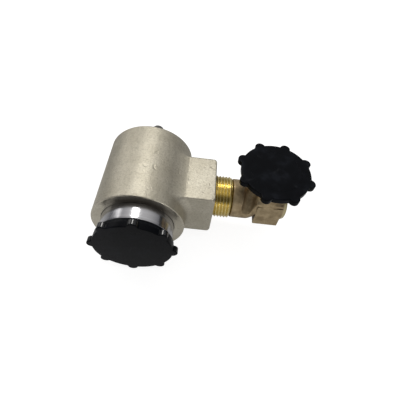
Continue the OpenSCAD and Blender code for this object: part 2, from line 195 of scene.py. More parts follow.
# rings of points joined into a skin; each ring is a function of the angle
def ringSkin(rings, closedPath=False, capped=False):
    count = len(rings[0])
    points = np.concatenate(rings)
    faces = []
    last = len(rings) if closedPath else len(rings) - 1
    for i in range(last):
        j = (i + 1) % len(rings)
        for k in range(count):
            n = (k + 1) % count
            faces.append((i * count + k, i * count + n, j * count + n, j * count + k))
    if capped:
        for i, turn in ((0, -1), (len(rings) - 1, 1)):
            centre = len(points)
            points = np.vstack([points, rings[i].mean(0)])
            for k in range(count):
                n = (k + 1) % count
                faces.append((i * count + k, i * count + n, centre)[::turn])
    return points, faces


angles = {n: np.linspace(0, 2 * math.pi, n, endpoint=False) for n in (144, 192, 384)}


def turnedRings(outline, axis, segments):
    rings, angle = [], angles[segments]
    for r, a in outline:
        along = np.full(segments, a)
        first, second = r * np.cos(angle), r * np.sin(angle)
        rings.append({
            "x": np.stack([along, first, second], 1),
            "y": np.stack([second, along, first], 1),
            "z": np.stack([first, second, along], 1),
        }[axis])
    return rings


def flipped(faces):
    return [f[::-1] for f in faces]


# small node helpers
def addNode(tree, kind, values=None, **settings):
    made = tree.nodes.new(kind)
    for key, value in settings.items():
        setattr(made, key, value)
    for key, value in (values or {}).items():
        made.inputs[key].default_value = value
    return made


def mathNode(tree, operation, a, b=None, clamp=False):
    made = addNode(tree, "ShaderNodeMath", operation=operation, use_clamp=clamp)
    for socket, value in zip(made.inputs, (a, b)):
        if isinstance(value, bpy.types.NodeSocket):
            tree.links.new(value, socket)
        elif value is not None:
            socket.default_value = value
    return made.outputs[0]


def rangeNode(tree, value, low, high, toLow=0.0, toHigh=1.0):
    limits = {"From Min": low, "From Max": high, "To Min": toLow, "To Max": toHigh}
    made = addNode(tree, "ShaderNodeMapRange", limits)
    tree.links.new(value, made.inputs["Value"])
    return made.outputs["Result"]


def mixColour(tree, share, first, second):
    made = addNode(tree, "ShaderNodeMix", data_type="RGBA")
    for socket, value in ((made.inputs[0], share), (made.inputs[6], first), (made.inputs[7], second)):
        if isinstance(value, bpy.types.NodeSocket):
            tree.links.new(value, socket)
        else:
            socket.default_value = (*value, 1) if isinstance(value, tuple) else value
    return made.outputs[2]


def noiseNode(tree, vector, size, detail=2.0, roughness=0.5):
    amounts = {"Scale": 1 / (size * mm), "Detail": detail, "Roughness": roughness}
    made = addNode(tree, "ShaderNodeTexNoise", amounts)
    tree.links.new(vector, made.inputs["Vector"])
    return made.outputs["Fac"]


def newGroup(name, inputs, outputs):
    group = bpy.data.node_groups.new(name, "ShaderNodeTree")
    for label, kind, value in inputs:
        socket = group.interface.new_socket(label, in_out="INPUT", socket_type=kind)
        if value is not None:
            socket.default_value = value
    for label, kind in outputs:
        group.interface.new_socket(label, in_out="OUTPUT", socket_type=kind)
    return group, group.nodes.new("NodeGroupInput"), group.nodes.new("NodeGroupOutput")


def placeGroup(tree, group, **values):
    made = addNode(tree, "ShaderNodeGroup", node_tree=group)
    for label, value in values.items():
        socket = made.inputs[label]
        if isinstance(value, bpy.types.NodeSocket):
            tree.links.new(value, socket)
        else:
            socket.default_value = value
    return made


# shared effect: the grain of a blasted or forged surface, with pits and broad blotches
def makeGrainGroup():
    group, inside, outside = newGroup(
        "surfaceGrain",
        [("Grain", "NodeSocketFloat", 0.3), ("Blotch", "NodeSocketFloat", 6.0),
         ("Pits", "NodeSocketFloat", 0.5)],
        [("Fine", "NodeSocketFloat"), ("Blotch", "NodeSocketFloat"), ("Height", "NodeSocketFloat")],
    )
    place = addNode(group, "ShaderNodeTexCoord").outputs["Object"]

    def sized(label, factor, detail):
        scale = mathNode(group, "DIVIDE", 1000.0 / factor, inside.outputs[label])
        made = addNode(group, "ShaderNodeTexNoise", {"Detail": detail, "Roughness": 0.6})
        group.links.new(place, made.inputs["Vector"])
        group.links.new(scale, made.inputs["Scale"])
        return made.outputs["Fac"]

    fine = sized("Grain", 1.0, 3.0)
    coarse = sized("Grain", 3.5, 2.0)
    blotch = sized("Blotch", 1.0, 3.0)
    deep = rangeNode(group, sized("Grain", 6.0, 1.0), 0.66, 0.76)
    pits = mathNode(group, "MULTIPLY", deep, inside.outputs["Pits"])
    height = mathNode(group, "ADD", mathNode(group, "MULTIPLY", fine, 0.55),
                      mathNode(group, "MULTIPLY", coarse, 0.45))
    group.links.new(mathNode(group, "SUBTRACT", height, pits), outside.inputs["Height"])
    group.links.new(rangeNode(group, fine, 0.3, 0.7), outside.inputs["Fine"])
    group.links.new(rangeNode(group, blotch, 0.35, 0.65), outside.inputs["Blotch"])
    return group


# shared effect: the fine rings that a lathe leaves, along a given distance
def makeTurningGroup():
    group, inside, outside = newGroup(
        "turningMarks",
        [("Distance", "NodeSocketFloat", 0.0), ("Spacing", "NodeSocketFloat", 0.25)],
        [("Height", "NodeSocketFloat"), ("Shade", "NodeSocketFloat")],
    )
    lines = mathNode(group, "DIVIDE", mathNode(group, "MULTIPLY", inside.outputs["Distance"], 1000.0),
                     inside.outputs["Spacing"])
    fine = addNode(group, "ShaderNodeTexNoise", {"Scale": 1.0, "Detail": 2.0}, noise_dimensions="1D")
    broad = addNode(group, "ShaderNodeTexNoise", {"Scale": 0.23, "Detail": 1.0}, noise_dimensions="1D")
    group.links.new(lines, fine.inputs["W"])
    group.links.new(lines, broad.inputs["W"])
    group.links.new(fine.outputs["Fac"], outside.inputs["Height"])
    group.links.new(rangeNode(group, broad.outputs["Fac"], 0.35, 0.65), outside.inputs["Shade"])
    return group


# shared effect: rubbed bright edges and grime kept in hollows
def makeWearGroup():
    group, inside, outside = newGroup(
        "edgeWear",
        [("Amount", "NodeSocketFloat", 0.5), ("Break", "NodeSocketFloat", 1.2)],
        [("Edge", "NodeSocketFloat"), ("Hollow", "NodeSocketFloat")],
    )
    place = addNode(group, "ShaderNodeTexCoord").outputs["Object"]
    point = addNode(group, "ShaderNodeNewGeometry").outputs["Pointiness"]
    breakUp = addNode(group, "ShaderNodeTexNoise", {"Detail": 3.0})
    group.links.new(place, breakUp.inputs["Vector"])
    group.links.new(mathNode(group, "DIVIDE", 1000.0, inside.outputs["Break"]), breakUp.inputs["Scale"])
    patchy = rangeNode(group, breakUp.outputs["Fac"], 0.35, 0.65)
    edge = mathNode(group, "MULTIPLY", rangeNode(group, point, 0.52, 0.60), inside.outputs["Amount"])
    hollow = mathNode(group, "MULTIPLY", rangeNode(group, point, 0.48, 0.40), inside.outputs["Amount"])
    group.links.new(mathNode(group, "MULTIPLY", edge, patchy, clamp=True), outside.inputs["Edge"])
    group.links.new(mathNode(group, "MULTIPLY", hollow, patchy, clamp=True), outside.inputs["Hollow"])
    return group


grainGroup = makeGrainGroup()
turningGroup = makeTurningGroup()
wearGroup = makeWearGroup()


def newMaterial(name, **constants):
    material = bpy.data.materials.new(name)
    material.use_nodes = True
    tree = material.node_tree
    shader = tree.nodes["Principled BSDF"]
    for label, value in constants.items():
        shader.inputs[label.replace("_", " ")].default_value = value
    return material, tree, shader


def setBump(tree, shader, height, strength, distance):
    bump = addNode(tree, "ShaderNodeBump", {"Strength": strength, "Distance": distance * mm})
    tree.links.new(height, bump.inputs["Height"])
    tree.links.new(bump.outputs["Normal"], shader.inputs["Normal"])


# distance from the regulator's axis, from the valve's axis, or along one of the row's axes, in metres
def distanceFrom(tree, kind):
    split = addNode(tree, "ShaderNodeSeparateXYZ")
    tree.links.new(addNode(tree, "ShaderNodeTexCoord").outputs["Object"], split.inputs[0])
    x, y, z = split.outputs
    if kind in "xyz":
        return {"x": x, "y": y, "z": z}[kind]
    first = mathNode(tree, "SUBTRACT", x, axisX) if kind == "regulator" else y
    squares = mathNode(tree, "ADD", mathNode(tree, "POWER", first, 2.0), mathNode(tree, "POWER", z, 2.0))
    return mathNode(tree, "SQRT", squares)


nickelLook = {
    "light": (0.60, 0.565, 0.47),
    "dark": (0.50, 0.465, 0.375),
    "speck": (0.33, 0.30, 0.235),
    # dark colour for painted shade in hollows and on the front face, and for grime
    "grimeAndShade": (0.085, 0.07, 0.045),
    "grain": 0.55,
    "blotch": 9.0,
    "streak": (1.3, 14.0),      # width and length of the faint streaks along the barrel
    # painted shade on the front face round the bonnet: darkest at the first radius, gone at the second
    "faceShade": (21.5, 25.6),      # radii between which the front face clears
}


def makeCastNickel():
    look = nickelLook
    material, tree, shader = newMaterial("castNickel", Metallic=0.85)
    grain = placeGroup(tree, grainGroup, Grain=look["grain"], Blotch=look["blotch"], Pits=0.6)
    openness = addNode(tree, "ShaderNodeAttribute", attribute_name="openness").outputs["Fac"]
    place = addNode(tree, "ShaderNodeMapping")
    tree.links.new(addNode(tree, "ShaderNodeTexCoord").outputs["Object"], place.inputs["Vector"])
    place.inputs["Scale"].default_value = (1, look["streak"][0] / look["streak"][1], 1)
    streak = rangeNode(tree, noiseNode(tree, place.outputs["Vector"], look["streak"][0], 2.0), 0.35, 0.65)
    speck = noiseNode(tree, addNode(tree, "ShaderNodeTexCoord").outputs["Object"], 0.95, 3.0, 0.7)
    tint = mixColour(tree, grain.outputs["Blotch"], look["dark"], look["light"])
    tint = mixColour(tree, mathNode(tree, "MULTIPLY", streak, 0.3), tint, look["dark"])
    tint = mixColour(tree, rangeNode(tree, speck, 0.47, 0.68, 0.0, 0.6), tint, look["speck"])
    # hollows painted darker by how enclosed they are: painted shade in the corners, together with grime
    tint = mixColour(tree, rangeNode(tree, openness, 0.78, 0.25, 0.0, 0.75), tint, look["grimeAndShade"])
    # the front face was skimmed, so it is smoother than the blasted skin; round the top of the bonnet it is
    # painted dark, as painted shade and a painted dark reflection of the ring
    skimmed = rangeNode(tree, distanceFrom(tree, "y"), (frontY + 0.35) * mm, (frontY + 0.2) * mm)
    clearFrom, clearTo = (r * mm for r in look["faceShade"])
    # painted shade and dark reflection: strongest next to the bonnet, fading towards the rim, and only on the
    # upper part of the face
    faceShade = rangeNode(tree, distanceFrom(tree, "regulator"), clearTo, clearFrom, 0.0, 0.85)
    across = mathNode(tree, "MULTIPLY", mathNode(tree, "SUBTRACT", distanceFrom(tree, "x"), axisX), 0.2)
    upperShade = rangeNode(tree, mathNode(tree, "ADD", distanceFrom(tree, "z"), across), 10 * mm, 18 * mm)
    faceShade = mathNode(tree, "MULTIPLY", faceShade, upperShade)
    tint = mixColour(tree, mathNode(tree, "MULTIPLY", skimmed, faceShade), tint, look["grimeAndShade"])
    tree.links.new(tint, shader.inputs["Base Color"])
    rough = rangeNode(tree, grain.outputs["Fine"], 0, 1, 0.40, 0.52)
    tree.links.new(mathNode(tree, "SUBTRACT", rough, mathNode(tree, "MULTIPLY", skimmed, 0.26)),
                   shader.inputs["Roughness"])
    flat = rangeNode(tree, skimmed, 0, 1, 1.0, 0.25)
    setBump(tree, shader, mathNode(tree, "MULTIPLY", grain.outputs["Height"], flat), 1.0, 0.19)
    return material


steelLook = {"light": (0.53, 0.53, 0.555), "dark": (0.43, 0.43, 0.45), "spacing": 0.5}


def makeTurnedSteel():
    material, tree, shader = newMaterial("turnedSteel", Metallic=1.0)
    marks = placeGroup(tree, turningGroup, Distance=distanceFrom(tree, "y"), Spacing=steelLook["spacing"])
    tint = mixColour(tree, marks.outputs["Shade"], steelLook["dark"], steelLook["light"])
    tree.links.new(tint, shader.inputs["Base Color"])
    tree.links.new(rangeNode(tree, marks.outputs["Shade"], 0, 1, 0.16, 0.22), shader.inputs["Roughness"])
    setBump(tree, shader, marks.outputs["Height"], 0.04, 0.01)
    return material


forgedLook = {
    "light": (0.56, 0.445, 0.27),
    "dark": (0.34, 0.255, 0.145),
    # dark colour for painted shade in hollows, and for grime
    "grimeAndShade": (0.07, 0.04, 0.017),
    "turned": (0.54, 0.46, 0.25),
    "grain": 0.35,
    "blotch": 4.0,
}


def makeForgedBrass():
    material, tree, shader = newMaterial("forgedBrass", Metallic=0.8)
    grain = placeGroup(tree, grainGroup, Grain=forgedLook["grain"], Blotch=forgedLook["blotch"], Pits=0.7)
    wear = placeGroup(tree, wearGroup, Amount=0.7, Break=1.5)
    openness = addNode(tree, "ShaderNodeAttribute", attribute_name="openness").outputs["Fac"]
    tint = mixColour(tree, grain.outputs["Blotch"], forgedLook["dark"], forgedLook["light"])
    tint = mixColour(tree, rangeNode(tree, grain.outputs["Fine"], 0, 1, 0.0, 0.3), tint, forgedLook["dark"])
    # hollows painted darker by how enclosed they are: painted shade along ledges and corners, together with
    # grime
    tint = mixColour(tree, rangeNode(tree, openness, 0.96, 0.55, 0.0, 0.9), tint, forgedLook["grimeAndShade"])
    tint = mixColour(tree, wear.outputs["Edge"], tint, forgedLook["turned"])
    # the round end is turned bright for the port
    turned = rangeNode(tree, distanceFrom(tree, "x"), valveHigh.x - 2.6 * mm, valveHigh.x - 2.3 * mm)
    tint = mixColour(tree, turned, tint, forgedLook["turned"])
    tree.links.new(tint, shader.inputs["Base Color"])
    rough = rangeNode(tree, grain.outputs["Fine"], 0, 1, 0.42, 0.58)
    blend = addNode(tree, "ShaderNodeMix", {3: 0.3}, data_type="FLOAT")
    tree.links.new(turned, blend.inputs[0])
    tree.links.new(rough, blend.inputs[2])
    tree.links.new(blend.outputs[0], shader.inputs["Roughness"])
    setBump(tree, shader, grain.outputs["Height"], 0.8, 0.14)
    return material


def makeThreadBrass():
    material, tree, shader = newMaterial("threadBrass", Metallic=1.0)
    radius = distanceFrom(tree, "valve")
    grain = placeGroup(tree, grainGroup, Grain=0.2, Blotch=2.5, Pits=0.2)
    # the roots of the thread are painted darker than the crests: painted shade in the grooves
    rootShade = rangeNode(tree, radius, 11.2 * mm, 11.9 * mm)
    tint = mixColour(tree, rootShade, (0.58, 0.44, 0.13), (0.90, 0.76, 0.36))
    tint = mixColour(tree, rangeNode(tree, grain.outputs["Blotch"], 0, 1, 0.0, 0.3), tint, (0.55, 0.42, 0.14))
    tree.links.new(tint, shader.inputs["Base Color"])
    tree.links.new(rangeNode(tree, grain.outputs["Fine"], 0, 1, 0.2, 0.34), shader.inputs["Roughness"])
    setBump(tree, shader, grain.outputs["Height"], 0.15, 0.03)
    return material


plasticLook = {"colour": (0.0024, 0.0030, 0.0046), "bloom": (0.0085, 0.0100, 0.0140), "grain": 0.22}


def makeBlackPlastic():
    material, tree, shader = newMaterial(
        "blackPlastic", Metallic=0.0, IOR=1.45, Specular_IOR_Level=0.06, Coat_Roughness=0.16,
    )
    grain = placeGroup(tree, grainGroup, Grain=plasticLook["grain"], Blotch=9.0, Pits=0.1)
    wear = placeGroup(tree, wearGroup, Amount=0.5, Break=1.0)
    patches = mathNode(tree, "POWER", grain.outputs["Blotch"], 3.0, clamp=True)
    tint = mixColour(tree, patches, plasticLook["colour"], plasticLook["bloom"])
    tint = mixColour(tree, wear.outputs["Edge"], tint, (0.025, 0.027, 0.03))
    # the adjusting knob's lobes are polished by fingers
    along, radius = distanceFrom(tree, "y"), distanceFrom(tree, "regulator")
    sides = mathNode(tree, "MULTIPLY", rangeNode(tree, along, knobLow.y + 0.3 * mm, knobLow.y + 0.6 * mm),
                     rangeNode(tree, along, knobHigh.y + 0.4 * mm, knobHigh.y + 0.1 * mm))
    lobes = rangeNode(tree, radius, 21.3 * mm, 22.0 * mm)
    tree.links.new(mathNode(tree, "MULTIPLY", sides, lobes), shader.inputs["Coat Weight"])
    tree.links.new(tint, shader.inputs["Base Color"])
    tree.links.new(rangeNode(tree, grain.outputs["Fine"], 0, 1, 0.24, 0.34), shader.inputs["Roughness"])
    setBump(tree, shader, grain.outputs["Height"], 0.10, 0.03)
    return material


# plain turned, drawn or moulded stock for the smaller pieces
def makeStock(name, light, dark, rough, metallic, grainSize=0.3, bump=0.15, axis="y", marked=True):
    material, tree, shader = newMaterial(name, Metallic=metallic)
    grain = placeGroup(tree, grainGroup, Grain=grainSize, Blotch=3.0, Pits=0.2)
    wear = placeGroup(tree, wearGroup, Amount=0.6, Break=1.0)
    tint = mixColour(tree, grain.outputs["Blotch"], dark, light)
    tint = mixColour(tree, wear.outputs["Hollow"], tint, tuple(c * 0.35 for c in dark))
    height = grain.outputs["Height"]
    if marked:
        marks = placeGroup(tree, turningGroup, Distance=distanceFrom(tree, axis), Spacing=0.2)
        tint = mixColour(tree, rangeNode(tree, marks.outputs["Shade"], 0, 1, 0.0, 0.35), tint, dark)
        height = mathNode(tree, "ADD", height, marks.outputs["Height"])
    tree.links.new(tint, shader.inputs["Base Color"])
    tree.links.new(rangeNode(tree, grain.outputs["Fine"], 0, 1, rough - 0.06, rough + 0.06),
                   shader.inputs["Roughness"])
    setBump(tree, shader, height, bump, 0.04)
    return material


finishes = {
    "cast_nickel": makeCastNickel(),
    "turned_steel": makeTurnedSteel(),
    "valve_brass": makeForgedBrass(),
    "black_plastic": makeBlackPlastic(),
    "machined_brass": makeStock("machinedBrass", (0.75, 0.60, 0.30), (0.58, 0.44, 0.19), 0.28, 1.0, axis="z"),
    "dark_nickel": makeStock("darkNickel", (0.36, 0.355, 0.34), (0.22, 0.215, 0.20), 0.34, 0.9),
    "spring_steel": makeStock("springSteel", (0.50, 0.51, 0.53), (0.32, 0.33, 0.35), 0.30, 1.0, marked=False),
    "zinc_steel": makeStock("zincSteel", (0.66, 0.67, 0.70), (0.48, 0.49, 0.52), 0.30, 1.0),
    "white_polymer": makeStock("whitePolymer", (0.86, 0.85, 0.80), (0.78, 0.76, 0.70), 0.48, 0.0,
                               marked=False),
    "black_rubber": makeStock("blackRubber", (0.030, 0.030, 0.032), (0.018, 0.018, 0.019), 0.62, 0.0,
                              marked=False),
    "copper_washer": makeStock("copperWasher", (0.72, 0.36, 0.20), (0.50, 0.22, 0.11), 0.36, 1.0,
                               marked=False),
    "sintered_bronze": makeStock("sinteredBronze", (0.50, 0.34, 0.17), (0.30, 0.19, 0.09), 0.55, 0.85,
                                 grainSize=0.5, bump=0.7, marked=False),
}
threadBrass = makeThreadBrass()
for part in frame["record"]["subparts"]:
    slots = frame["nodes"][part["node"]].data.materials
    slots.clear()
    slots.append(finishes[part["material_slot"]])
print("finishes made:", len(finishes) + 1)

# the forged body: barrel and square boss in one, blasted, then turned at the front
bodyLook = {
    "backRound": 0.9,
    "rimRound": 0.6,
    "bossWidth": 30.8,
    "bossEdge": 1.1,
    "bossEndEdge": 0.8,
    "bossBlend": 4.0,
    "cornerRadius": 20.2,   # radius at which the boss's corners are turned off at its end
    "frontBore": 19.6,      # closes to the bonnet at the face, and opens to its thread behind
    "boreDepth": -20.0,
    "chambers": (           # radius and depth of each step of the bore, from the front
        (20.2, frontY + 1.6, -9.0), (17.0, -10.0, -5.0), (5.0, -6.0, 0.0),
        (8.0, -1.0, 13.0), (10.0, 12.0, 30.0),
    ),
    "backSpot": (14.86, 0.8),            # radius and depth of the flat sunk into the back
    "inletSteps": ((12.25, 26.0), (8.0, 18.6)),      # radius of each step, and how deep it reaches
    "drill": (3.4, 3.0),    # height and radius of the hole from the inlet to the seat
    "cell": 0.45,
    "margin": 1.3,
}


def bodyField(x, y, z):
    look = bodyLook
    fromAxis = np.hypot(x, z)
    barrel = roundCut(fromAxis - barrelRadius, y - backY, look["backRound"])
    barrel = roundCut(barrel, frontY - y, look["rimRound"])
    half = look["bossWidth"] / 2
    boss = roundCut(np.abs(y) - half, np.abs(z) - half, look["bossEdge"])
    boss = roundCut(boss, x - bossEnd, look["bossEndEdge"])
    corner = ((np.hypot(y, z) - look["cornerRadius"]) + (x - bossEnd)) / math.sqrt(2)
    boss = roundCut(boss, corner, 0.5)
    boss = np.maximum(boss, -x)
    shell = roundJoin(barrel, boss, look["bossBlend"])
    bore = np.maximum(fromAxis - look["frontBore"], y - look["boreDepth"])
    for r, start, stop in look["chambers"]:
        bore = np.minimum(bore, np.maximum(fromAxis - r, np.maximum(start - y, y - stop)))
    spotRadius, spotDepth = look["backSpot"]
    spot = np.maximum(fromAxis - spotRadius, backY - spotDepth - y)
    steps = [np.maximum(np.hypot(y, z) - r, reach - x) for r, reach in look["inletSteps"]]
    inlet = np.minimum(*steps)
    drillHeight, drillRadius = look["drill"]
    drill = np.maximum(np.hypot(y, z - drillHeight) - drillRadius, -x)
    for hole, r in ((bore, 0.15), (spot, 0.2), (inlet, 0.3), (drill, 0.1)):
        shell = roundCut(shell, -hole, r)
    return shell


addShell(
    "bodyShell", bodyField,
    (-barrelRadius - bodyLook["margin"], frontY - bodyLook["margin"], -barrelRadius - bodyLook["margin"]),
    (bossEnd + bodyLook["margin"], backY + bodyLook["margin"], barrelRadius + bodyLook["margin"]),
    bodyLook["cell"], "body", finishes["cast_nickel"], ["regulator_body"],
)

# the shut-off valve: neck, square chamber, tower and round end forged in one
valveLook = {
    "neckRadius": 11.3,
    "neckStart": 50.6,
    "neckEnd": 62.0,
    "chamberStart": 65.2,
    "chamberStop": 80.2,
    "chamberWide": 10.0,
    "chamberTop": 6.5,
    "chamberEdge": 0.45,
    "shoulderWide": 9.3,
    "shoulderTop": 8.2,
    "towerRadius": 9.0,
    "towerTop": 14.0,
    "endRadius": 8.7,
    "blend": 2.2,
    "scoopTop": (61.0, 1.5, 12.6),       # hollows forged between neck and tower, one each side
    "scoopFoot": (59.6, 11.6, 3.4),
    "scoopRadius": 3.2,
    "swellRadius": 9.95,
    "port": (5.72, 8.0),                 # radius and depth
    "well": (6.5, 6.5),                  # radius, and height of its floor
    "halfWidth": 12.6,
    "margin": 1.2,
    "cell": 0.36,
}
valveEnd = (valveHigh.x - axisX) / mm


# distance from the rounded rod between two points, the same on both sides of y = 0
def rodField(x, y, z, start, end, r):
    ax, ay, az = start
    bx, by, bz = (b - a for a, b in zip(start, end))
    px, py, pz = x - ax, np.abs(y) - ay, z - az
    t = np.clip((px * bx + py * by + pz * bz) / (bx * bx + by * by + bz * bz), 0, 1)
    return np.sqrt((px - bx * t) ** 2 + (py - by * t) ** 2 + (pz - bz * t) ** 2) - r


def valveField(x, y, z):
    look = valveLook
    fromAxis = np.hypot(y, z)
    run, fall = look["chamberStart"] - look["neckEnd"], look["neckRadius"] - look["endRadius"]
    cone = ((fromAxis - look["neckRadius"]) * run + (x - look["neckEnd"]) * fall) / math.hypot(run, fall)
    neck = roundCut(fromAxis - look["neckRadius"], cone, 1.5)
    neck = roundCut(np.maximum(neck, x - look["chamberStop"]), look["neckStart"] - x, 0.5)
    end = roundCut(fromAxis - look["endRadius"], x - valveEnd, 0.8)
    swell = (fromAxis - look["endRadius"] - 0.5 * (valveEnd - x)) * 0.89
    swell = roundCut(swell, np.maximum(fromAxis - look["swellRadius"], look["chamberStop"] - 1.0 - x), 0.4)
    swell = np.maximum(swell, x - valveEnd + 0.6)
    end = roundJoin(np.maximum(end, look["neckEnd"] - x), swell, 0.6)
    level = np.maximum(z - look["chamberTop"], -look["chamberWide"] - z)
    pad = roundCut(np.abs(y) - look["chamberWide"], level, look["chamberEdge"])
    pad = roundCut(pad, np.maximum(look["chamberStart"] - x, x - look["chamberStop"]), look["chamberEdge"])
    shoulder = roundCut(np.abs(y) - look["shoulderWide"], z - look["shoulderTop"], 1.4)
    ends = np.maximum(look["chamberStart"] - 1.2 - x, x - look["chamberStop"] - 0.3)
    shoulder = roundCut(shoulder, ends, 1.2)
    shoulder = np.maximum(shoulder, -z)
    fromSpindle = np.hypot(x - spindleAt, y)
    tower = roundCut(fromSpindle - look["towerRadius"], z - look["towerTop"], 0.5)
    tower = np.maximum(tower, -z)
    shell = roundJoin(neck, end, 2.0)
    shell = roundJoin(shell, shoulder, 1.6)
    shell = roundJoin(shell, tower, look["blend"])
    shell = roundCut(shell, -rodField(x, y, z, look["scoopTop"], look["scoopFoot"], look["scoopRadius"]), 1.2)
    shell = roundJoin(shell, pad, 0.25)
    portRadius, portDepth = look["port"]
    port = np.maximum(fromAxis - portRadius, valveEnd - portDepth - x)
    wellRadius, wellFloor = look["well"]
    well = np.maximum(fromSpindle - wellRadius, wellFloor - z)
    for hole, r in ((port, 0.5), (well, 0.3)):
        shell = roundCut(shell, -hole, r)
    return shell


addShell(
    "valveShell", valveField,
    (valveLook["neckStart"] - valveLook["margin"], -valveLook["halfWidth"], -valveLook["halfWidth"]),
    (valveEnd + valveLook["margin"], valveLook["halfWidth"], valveLook["towerTop"] + valveLook["margin"]),
    valveLook["cell"], "body", finishes["valve_brass"], ["valve_body"],
)

# the male thread as a true helix, running out into the undercut before the neck
threadLook = {
    "radius": 12.1,
    "depth": 0.8,
    "pitch": 1.814,
    "start": 36.0,
    "end": 49.9,
    "undercut": 10.7,
    "crest": 0.14,
    "steps": 18,
}


def addThread():
    look = threadLook
    angle = angles[144]
    rings = []
    stations = np.arange(look["start"], look["end"], look["pitch"] / look["steps"])
    for along in stations:
        phase = ((along - bossEnd) / look["pitch"] - angle / (2 * math.pi)) % 1.0
        height = np.clip((1 - np.abs(2 * phase - 1)) * (1 + look["crest"]) * 1.08 - 0.06, 0, 1)
        fade = np.clip((look["end"] - along) / 0.9, 0, 1)
        r = look["radius"] - look["depth"] * (1 - height * fade)
        rings.append(np.stack([np.full_like(r, along), r * np.cos(angle), r * np.sin(angle)], 1))
    for r, along in ((look["undercut"], look["end"]), (look["undercut"], valveLook["neckStart"] + 1.0)):
        rings.append(turnedRings([(r, along)], "x", 144)[0])
    points, faces = ringSkin(rings, capped=True)
    addPiece("valveThread", points, flipped(faces), "body", threadBrass)


addThread()

# the bonnet: a bright turned ring with the spring housing behind it
ringFront = bonnetLow.y / mm
bonnetLook = {
    "radius": 19.5, "edge": 0.5, "bore": 5.05, "room": 14.0,
    "thread": 20.1,         # radius of its thread behind the body's face
    "wall": 3.4,
}


def addBonnet():
    look = bonnetLook
    r, back = look["radius"], bonnetHigh.y / mm
    outline = softOutline([
        (look["bore"], ringFront, 0.2), (r, ringFront, look["edge"]),
        (r, frontY + 1.6, 0.2), (look["thread"], frontY + 2.2, 0.1),
        (look["thread"], back, 0.2), (look["room"], back, 0.2),
        (look["room"], ringFront + look["wall"], 0.5), (look["bore"], ringFront + look["wall"], 0.2),
    ], closed=True)
    points, faces = ringSkin(turnedRings(outline, "y", 192), closedPath=True)
    addPiece("bonnetShell", points, faces, "body", finishes["turned_steel"], ["bonnet"])


addBonnet()


# outline of a lobed knob, as a radius at each angle: a disc with round lobes faded into it
def lobedRadius(angle, look):
    step = 2 * math.pi / look["lobes"]
    off = (angle - look["turn"] + step / 2) % step - step / 2
    reach = np.clip(look["lobeRadius"] ** 2 - (look["lobeAt"] * np.sin(off)) ** 2, 0, None)
    lobe = np.where(reach > 0, look["lobeAt"] * np.cos(off) + np.sqrt(reach), 0)
    near = np.clip(1 - np.abs(look["disc"] - lobe) / look["fade"], 0, 1)
    return np.maximum(look["disc"], lobe) + near ** 2 * look["fade"] / 4


# a knob as rings from the seam of its cap, over the rim, down the lobes and round its hollow back
def knobRings(look):
    angle = angles[384]
    edge, disc = lobedRadius(angle, look), np.full(len(angle), look["disc"])
    top, back, cap, rim = look["face"], look["back"], look["capRadius"], look["rim"]
    discBack = top - look["discThick"]
    underRound = 0.3        # rounding of the lobes' back edge
    rings = []

    def level(r):       # the face falls away a little towards the rim
        return top - look["dome"] * (np.minimum(r, look["disc"]) / look["disc"]) ** 2

    def ring(r, height):
        r = np.broadcast_to(r, angle.shape)
        height = np.broadcast_to(height, angle.shape)
        rings.append(np.stack([r * np.cos(angle), r * np.sin(angle), height], 1))

    floor = top - look["capDepth"]
    for r, height in (
        (look["hubBore"], floor), (cap, floor), (cap, top - 0.3), (cap, level(cap) - 0.03),
        (cap + 0.03, level(cap)), (cap + 0.12, level(cap)),
    ):
        ring(r, height)
    for share in (0.1, 0.4, 0.65, 0.85):
        r = cap + (edge - rim - cap) * share
        ring(r, level(r))
    start = level(look["disc"])
    for turn in np.linspace(0, math.pi / 2, 6):
        ring(edge - rim * (1 - math.sin(turn)), start - rim * (1 - math.cos(turn)))
    under = top - look["lobeThick"]     # the lobes end here, and the disc carries on behind them
    for share in (0.3, 0.6, 0.9):
        ring(edge - look["draft"] * share, start - rim - (start - rim - under - underRound) * share)
    for turn in np.linspace(0, math.pi / 2, 4):
        drawn = edge - look["draft"] - underRound * (1 - math.cos(turn))
        ring(np.maximum(drawn, disc - 0.12), under + underRound - underRound * math.sin(turn))
    for share in (0.5, 1.0):
        ring(edge - (edge - disc) * share - 0.14, under)
    for r, share in ((disc - 0.16, 0.03), (disc - 0.2, 0.8), (disc - 0.28, 0.97)):
        ring(r, under + (discBack - under) * share)
    hollow, web, hub = look["hollow"], look["web"], look["hub"]
    for r, height in (
        (hollow + 0.2, discBack), (hollow, discBack + 0.2), (hollow, web), (hub, web),
        (hub, back + 0.2), (hub - 0.2, back), (look["hubBore"], back),
    ):
        ring(r, height)
    return rings


def capRings(look):
    outline = [(0.02, look["face"])]
    edge = look["capRadius"] - 0.03
    for r in (*np.linspace(0, edge, 9)[1:-1], edge - 0.12, edge - 0.03):
        outline.append((r, look["face"] - look["dome"] * (r / look["disc"]) ** 2))
    outline += [(edge, outline[-1][1] - 0.03), (edge, look["face"] - look["capDepth"] + 0.1),
                (0.02, look["face"] - look["capDepth"] + 0.1)]
    return turnedRings(outline, "z", 192)


